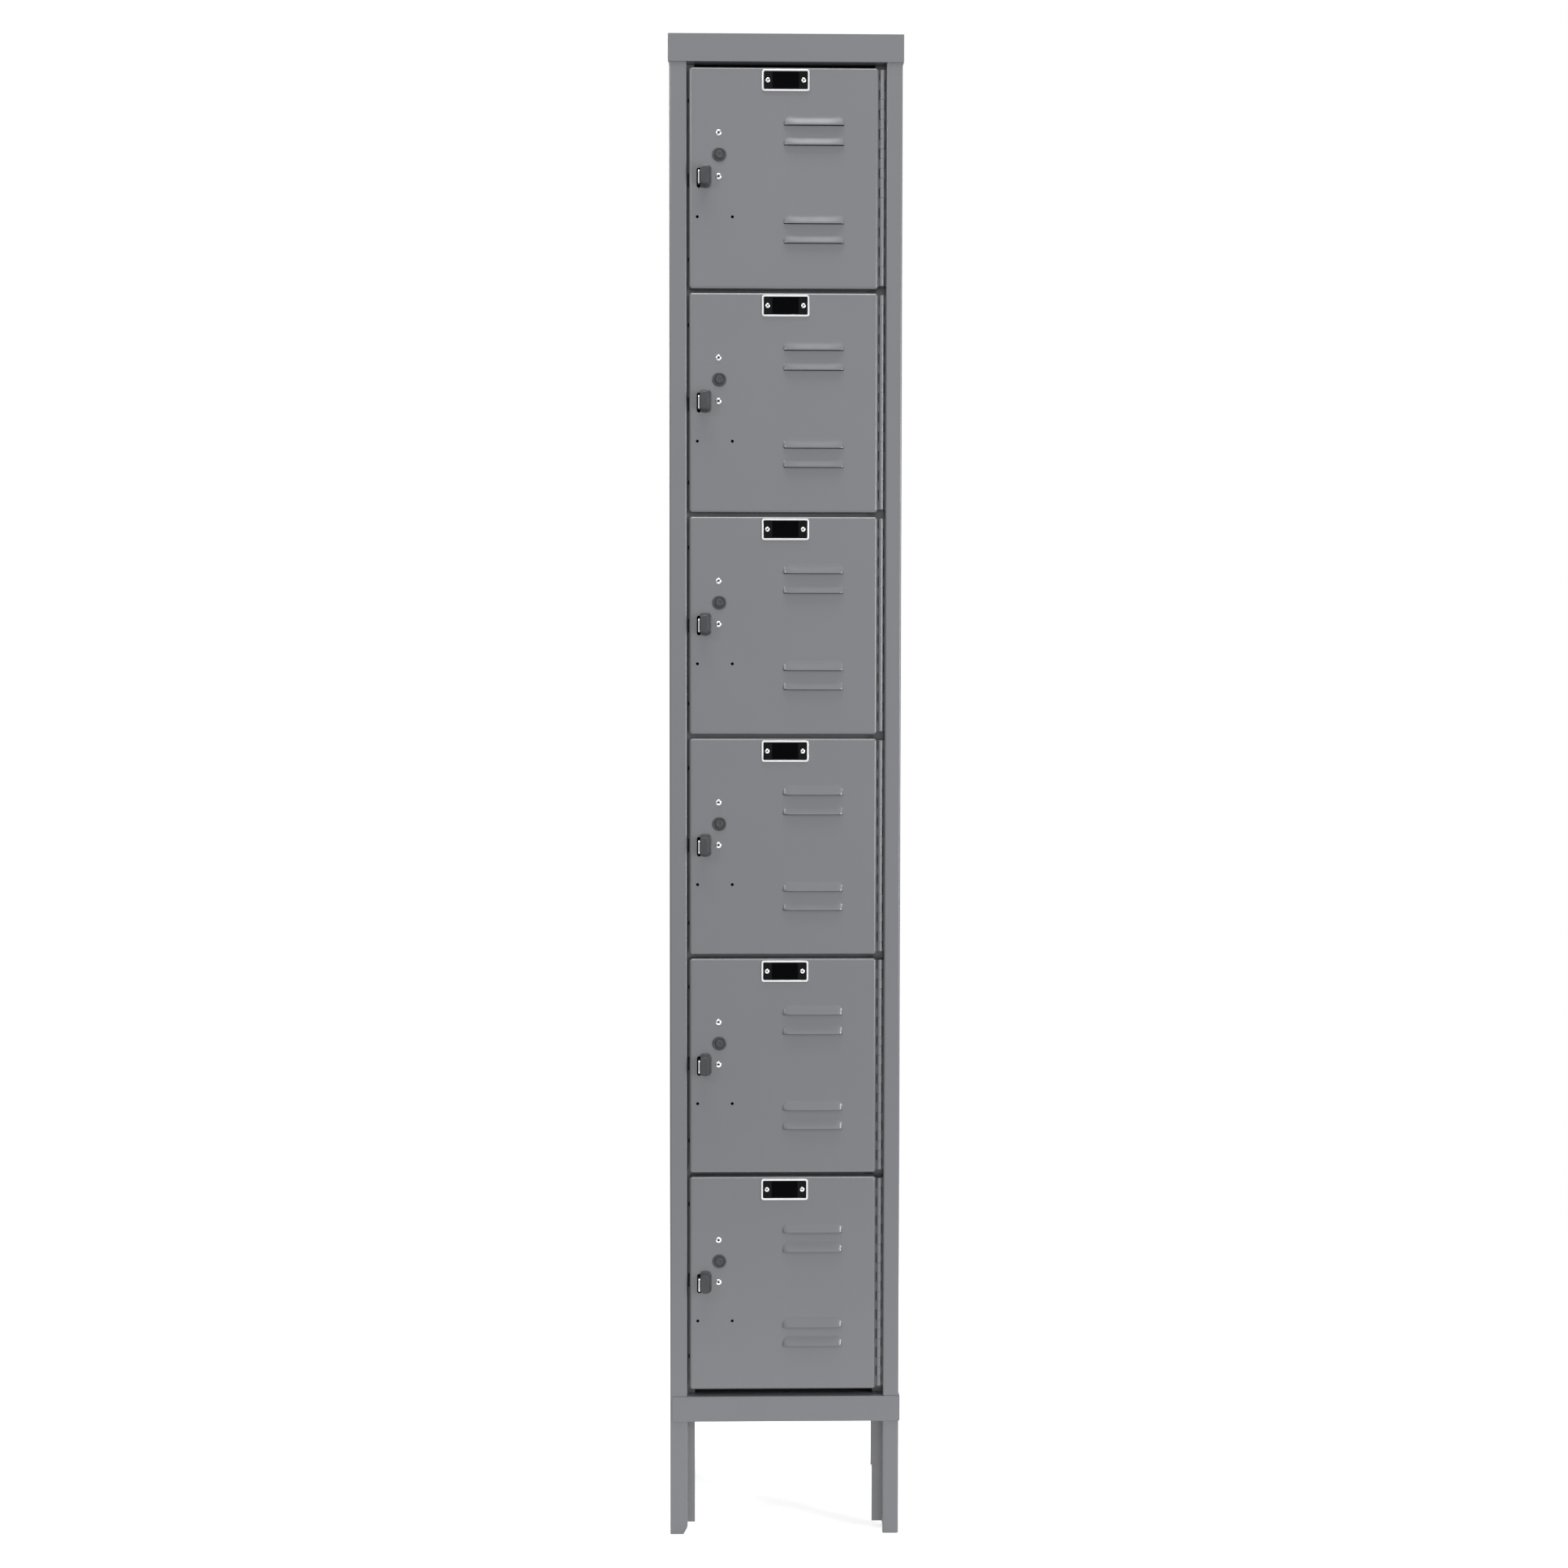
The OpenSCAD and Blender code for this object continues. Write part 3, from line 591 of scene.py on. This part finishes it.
def make_pull(i):
    """Hollow finger pull, open to its left, with round shoulders and a thin foot."""
    lo, hi = node_box("door_%d_pull" % i)
    x0, cz = lo.x, (lo.z + hi.z) / 2

    def arch(x):
        return 1 - PULL_ARCH * (2 * (x - x0) / PULL_W - 1) ** 2

    def loop(inset, r):
        """From the lower left end round the right side to the upper left end."""
        w, half = PULL_W - inset, PULL_H / 2 - inset
        lower = [(x0 + x, -half) for x in np.linspace(0, w - r, 7)[:-1]]
        for a in np.linspace(-math.pi / 2, 0, 9):
            lower.append((x0 + w - r + r * math.cos(a), r - half + r * math.sin(a)))
        lower += [(x0 + w, z) for z in np.linspace(r - half, 0, 5)[1:]]
        upper = [(x, -z) for x, z in reversed(lower[:-1])]
        return [(x, cz + z * arch(x)) for x, z in lower + upper]

    levels = list(PULL_FOOT)
    for a in np.linspace(0, math.pi / 2, 7):
        inset = PULL_TAPER + PULL_FILLET * (1 - math.cos(a))
        levels.append((inset, PULL_TOP_R, PULL_OUT - PULL_SHORT - PULL_FILLET * (1 - math.sin(a))))
    verts, faces = [], []
    for k, (inset, r, out) in enumerate(levels):
        points = loop(inset, r)
        start = len(verts)
        n = len(points)
        verts += [(x, FACE_Y - out, z) for x, z in points]
        if k:
            faces += bridge(start - n, start, n, closed=False)
    last = len(verts) - n
    for k in range(n // 2):
        a, b, c, d = last + k, last + k + 1, last + n - 2 - k, last + n - 1 - k
        faces.append((a, b, c, d) if b != c else (a, b, d))
    obj = make_piece("door_%d_pull_dressed" % i, verts, faces, [plastic], "door_%d" % i,
                     ["door_%d_pull" % i])
    solidify(obj, PULL_WALL, sharp_angle=45)


# ---- Lock plugs and rivets: each profile point is (radius, out) ----

PLUG_POINTS = 72
PLUG_PROFILE = [(6.0, -1.6), (5.9, -4.4), (6.9, -4.5), (7.9, -1.9), (7.9, 0.0), (9.15, 0.02), (9.2, 0.4),
                (9.1, 0.8), (8.8, 1.1), (8.4, 1.22), (7.2, 1.24), (6.8, 1.15), (6.5, 0.85), (6.4, 0.6),
                (6.2, 0.5), (5.6, 0.5), (5.45, 0.6), (5.35, 1.0), (5.2, 1.7), (4.9, 2.05), (4.4, 2.2),
                (2.4, 2.2), (2.1, 2.12), (1.9, 1.95), (1.6, 1.9), (0.4, 1.9)]


def make_lock_plug(i):
    """Round plug: a flange, a groove and a raised disc."""
    lo, hi = node_box("door_%d_lock_plug" % i)
    cx, cz = (lo.x + hi.x) / 2, (lo.z + hi.z) / 2
    verts, faces = lathe(PLUG_PROFILE, PLUG_POINTS, cx, cz)
    faces.append(tuple(range(len(verts) - PLUG_POINTS, len(verts))))
    obj = make_piece("door_%d_lock_plug_dressed" % i, verts, faces, [plastic], "door_%d" % i,
                     ["door_%d_lock_plug" % i])
    obj.data.set_sharp_from_angle(angle=math.radians(60))


RIVET_POINTS = 40
PLATE_RIVET = (3.1, 1.3, 0.9, 1.5, 2.3)
CATCH_RIVET = (3.9, 1.6, 1.35, 2.0, 2.6)
PLATE_RIVET_OFFSET, PLATE_RIVET_OUT = 23.4, 0.8


def rivet_profile(head_r, head_h, hole_r, shank_r, grip):
    """From the bottom of the mandrel's hole over the dome, and behind the sheet the shank and tail."""
    dome = [(head_r * math.sin(a), head_h * math.cos(a) ** 1.15) for a in np.linspace(0, math.pi / 2, 15)]
    front = [(0.02, head_h * 0.15), (hole_r * 0.96, head_h * 0.15), (hole_r, head_h * 0.7)]
    front += [(r, z) for r, z in dome if r > hole_r * 1.08 and z > 0.03]
    tail_r = shank_r * 1.5
    shank = [(head_r, 0.0), (head_r * 0.97, -0.04), (shank_r, -0.06), (shank_r, -grip)]
    tail = [(tail_r * 0.95, -grip - 0.1), (tail_r, -grip - 0.6), (tail_r * 0.9, -grip - 1.4),
            (shank_r * 0.9, -grip - 1.9), (0.02, -grip - 2.0)]
    return front + shank + tail


def make_rivets(i):
    """The two rivets of the number plate and the two that hold the catch."""
    plate_lo, plate_hi = node_box("door_%d_number_plate" % i)
    px, pz = (plate_lo.x + plate_hi.x) / 2, (plate_lo.z + plate_hi.z) / 2
    door_lo, door_hi = node_box("door_%d_panel" % i)
    spots = [(px - PLATE_RIVET_OFFSET, pz, PLATE_RIVET_OUT, PLATE_RIVET),
             (px + PLATE_RIVET_OFFSET, pz, PLATE_RIVET_OUT, PLATE_RIVET)]
    for across, down in CATCH_RIVETS:
        spots.append((door_lo.x + across, door_hi.z - down, 0.0, CATCH_RIVET))
    # The holes' floors and walls take the near-black mandrel colour, which paints the shade inside them.
    mandrel_and_hole_shade_faces = 2 * RIVET_POINTS
    verts, faces, kinds = [], [], []
    for x, z, proud, dims in spots:
        v, f = lathe(rivet_profile(*dims), RIVET_POINTS, x, z)
        faces += [tuple(k + len(verts) for k in reversed(q)) for q in f]
        kinds += [1] * mandrel_and_hole_shade_faces + [0] * (len(f) - mandrel_and_hole_shade_faces)
        verts += [(vx, vy - proud, vz) for vx, vy, vz in v]
    obj = make_piece("door_%d_rivets_dressed" % i, verts, faces, [rivet_metal, mandrel_steel_and_hole_shade], "door_%d" % i,
                     ["door_%d_rivets" % i], kinds)
    obj.data.set_sharp_from_angle(angle=math.radians(50))


for door in DOORS:
    make_rivets(door)
    make_door(door)
    make_number_plate(door)
    make_pull(door)
    make_lock_plug(door)

# ---- Stage, light and camera, in metres ----

FLOOR_R, FLOOR_POINTS, FLOOR_GAP = 3.2, 96, 0.0004
FADE_FROM, FADE_TO = 0.35, 2.6
AMBIENT = 0.48
LENS, SENSOR = 61.0, 36.0
YAW, PITCH, ROLL = 1.295, 2.822, 0.065
CAMERA_X, CAMERA_BACK, CAMERA_Z = -80.7, 3500, 1176.5


def make_floor():
    """A pale round floor that fades out towards its rim and sends no diffuse light to the legs."""
    mesh = bpy.data.meshes.new("floor")
    z = CAD_BOX[0].z - FLOOR_GAP
    mesh.from_pydata([(x, y, z) for x, y in circle_loop(FLOOR_R, FLOOR_POINTS, 0.0, 0.0)], [],
                     [tuple(range(FLOOR_POINTS))])
    material = bpy.data.materials.new("floor_paper")
    tree, nodes, links, shader = nodes_of(material)
    shader.inputs["Roughness"].default_value = 0.9
    shader.inputs["Emission Color"].default_value = (1, 1, 1, 1)
    shader.inputs["Emission Strength"].default_value = 0.5
    material.cycles.emission_sampling = "NONE"
    pale = tinted(tree, noise(tree, 3.0), (0.90, 0.90, 0.90), (0.92, 0.92, 0.92))
    links.new(pale, shader.inputs["Base Color"])
    coords = nodes.new("ShaderNodeTexCoord")
    length = nodes.new("ShaderNodeVectorMath")
    length.operation = "LENGTH"
    links.new(coords.outputs["Object"], length.inputs[0])
    fade = remap(tree, length.outputs["Value"], FADE_FROM, FADE_TO, 1.0, 0.0, "SMOOTHSTEP")
    links.new(fade, shader.inputs["Alpha"])
    mesh.materials.append(material)
    floor = bpy.data.objects.new("floor", mesh)
    bpy.context.scene.collection.objects.link(floor)
    floor.visible_diffuse = False


def softbox(name, location, target, width, height, watts):
    """A rectangular light that faces its target."""
    light = bpy.data.lights.new(name, "AREA")
    light.shape = "RECTANGLE"
    light.size, light.size_y = width, height
    light.energy = watts
    obj = bpy.data.objects.new(name, light)
    bpy.context.scene.collection.objects.link(obj)
    obj.location = location
    obj.rotation_euler = (Vector(target) - Vector(location)).to_track_quat("-Z", "Y").to_euler()


def make_world():
    """White where the camera sees it, and a dimmer light everywhere else."""
    world = bpy.data.worlds.new("studio")
    bpy.context.scene.world = world
    world.use_nodes = True
    tree = world.node_tree
    background = tree.nodes["Background"]
    path = tree.nodes.new("ShaderNodeLightPath")
    level = remap(tree, path.outputs["Is Camera Ray"], 0.0, 1.0, AMBIENT, 1.0)
    tree.links.new(level, background.inputs["Strength"])
    background.inputs["Color"].default_value = (1, 1, 1, 1)


def make_camera():
    """The photograph's viewpoint: in front, a little left of the middle and looking slightly down.

    Its place is in millimetres and its angles are in degrees.
    """
    data = bpy.data.cameras.new("camera")
    data.lens, data.sensor_width = LENS, SENSOR
    data.clip_start, data.clip_end = 0.05, 100
    cam = bpy.data.objects.new("camera", data)
    bpy.context.scene.collection.objects.link(cam)
    yaw, pitch, roll = (math.radians(a) for a in (YAW, PITCH, ROLL))
    level = math.cos(pitch)
    forward = Vector((math.sin(yaw) * level, math.cos(yaw) * level, -math.sin(pitch)))
    right = Vector((math.cos(yaw), -math.sin(yaw), 0))
    up = right.cross(forward)
    side = right * math.cos(roll) + up * math.sin(roll)
    top = up * math.cos(roll) - right * math.sin(roll)
    turn = Matrix((side, top, -forward)).transposed().to_4x4()
    place = Vector((CAMERA_X, FACE_Y - CAMERA_BACK, CAMERA_Z)) * MM
    cam.matrix_world = Matrix.Translation(place) @ turn
    bpy.context.scene.camera = cam


make_floor()
make_world()
softbox("overhead", (0.0, -0.75, 4.4), (0, -0.3, 1.0), width=2.2, height=1.0, watts=82)
softbox("right", (2.2, -1.9, 1.2), (0, -0.1, 1.0), width=0.6, height=1.6, watts=42)
softbox("left", (-1.9, -1.9, 2.5), (0, -0.1, 1.3), width=0.5, height=0.5, watts=13)
softbox("front", (0.2, -5.2, 1.1), (0, 0, 1.0), width=4.5, height=5.5, watts=34)
softbox("rear", (-1.8, 4.0, 2.6), (0, 0, 1.0), width=3.0, height=2.2, watts=120)
make_camera()
bpy.context.scene.view_settings.view_transform = "Standard"
